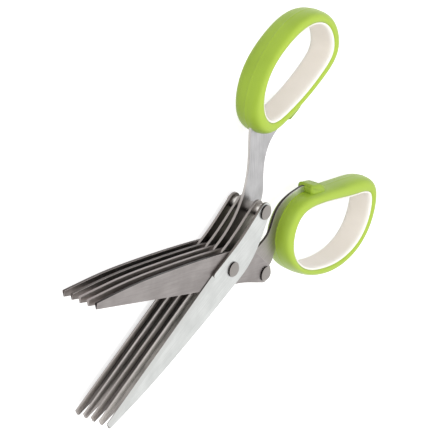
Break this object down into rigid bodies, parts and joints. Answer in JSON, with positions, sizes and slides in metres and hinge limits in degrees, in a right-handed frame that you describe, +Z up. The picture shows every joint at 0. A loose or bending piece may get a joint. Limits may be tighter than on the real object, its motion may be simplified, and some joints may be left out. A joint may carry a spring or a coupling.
{
  "type": "herb scissors",
  "caption": "Herb scissors whose two stacks of parallel blades shear on one pivot, with green and white moulded finger loops.",
  "frame": {"origin": "on the pivot axis, at the bottom of the lower pivot head, which rests on the table", "axes": "+Z up along the pivot axis, -Y towards the blade tips along the line that halves the open blades"},
  "size_m": [0.1384, 0.2035, 0.0213],
  "materials": {
    "blade_steel": "brushed",
    "rivet_steel": "satin",
    "spacer_steel": "satin",
    "green_plastic": "satin",
    "white_plastic": "matte"
  },
  "bodies": {
    "left_half": {"left_blade_1": "blade_steel", "left_blade_2": "blade_steel", "left_handle_blade": "blade_steel", "left_blade_4": "blade_steel", "left_blade_5": "blade_steel", "left_rivet": "rivet_steel", "left_spacer_1": "spacer_steel", "left_spacer_2": "spacer_steel", "left_spacer_3": "spacer_steel", "left_spacer_4": "spacer_steel", "left_grip": "green_plastic", "left_liner": "white_plastic", "pivot_rivet": "rivet_steel", "pivot_washer_1": "spacer_steel", "pivot_washer_2": "spacer_steel", "pivot_washer_3": "spacer_steel", "pivot_washer_4": "spacer_steel"},
    "right_half": {"right_blade_1": "blade_steel", "right_blade_2": "blade_steel", "right_handle_blade": "blade_steel", "right_blade_4": "blade_steel", "right_blade_5": "blade_steel", "right_rivet": "rivet_steel", "right_spacer_1": "spacer_steel", "right_spacer_2": "spacer_steel", "right_spacer_3": "spacer_steel", "right_spacer_4": "spacer_steel", "right_grip": "green_plastic", "right_liner": "white_plastic"}
  },
  "joints": [
    {"name": "pivot", "type": "hinge", "parent": "left_half", "child": "right_half", "pos_m": [0, 0, 0.01066], "axis": [0, 0, 1], "range_deg": [-83, 36.6]}
  ]
}
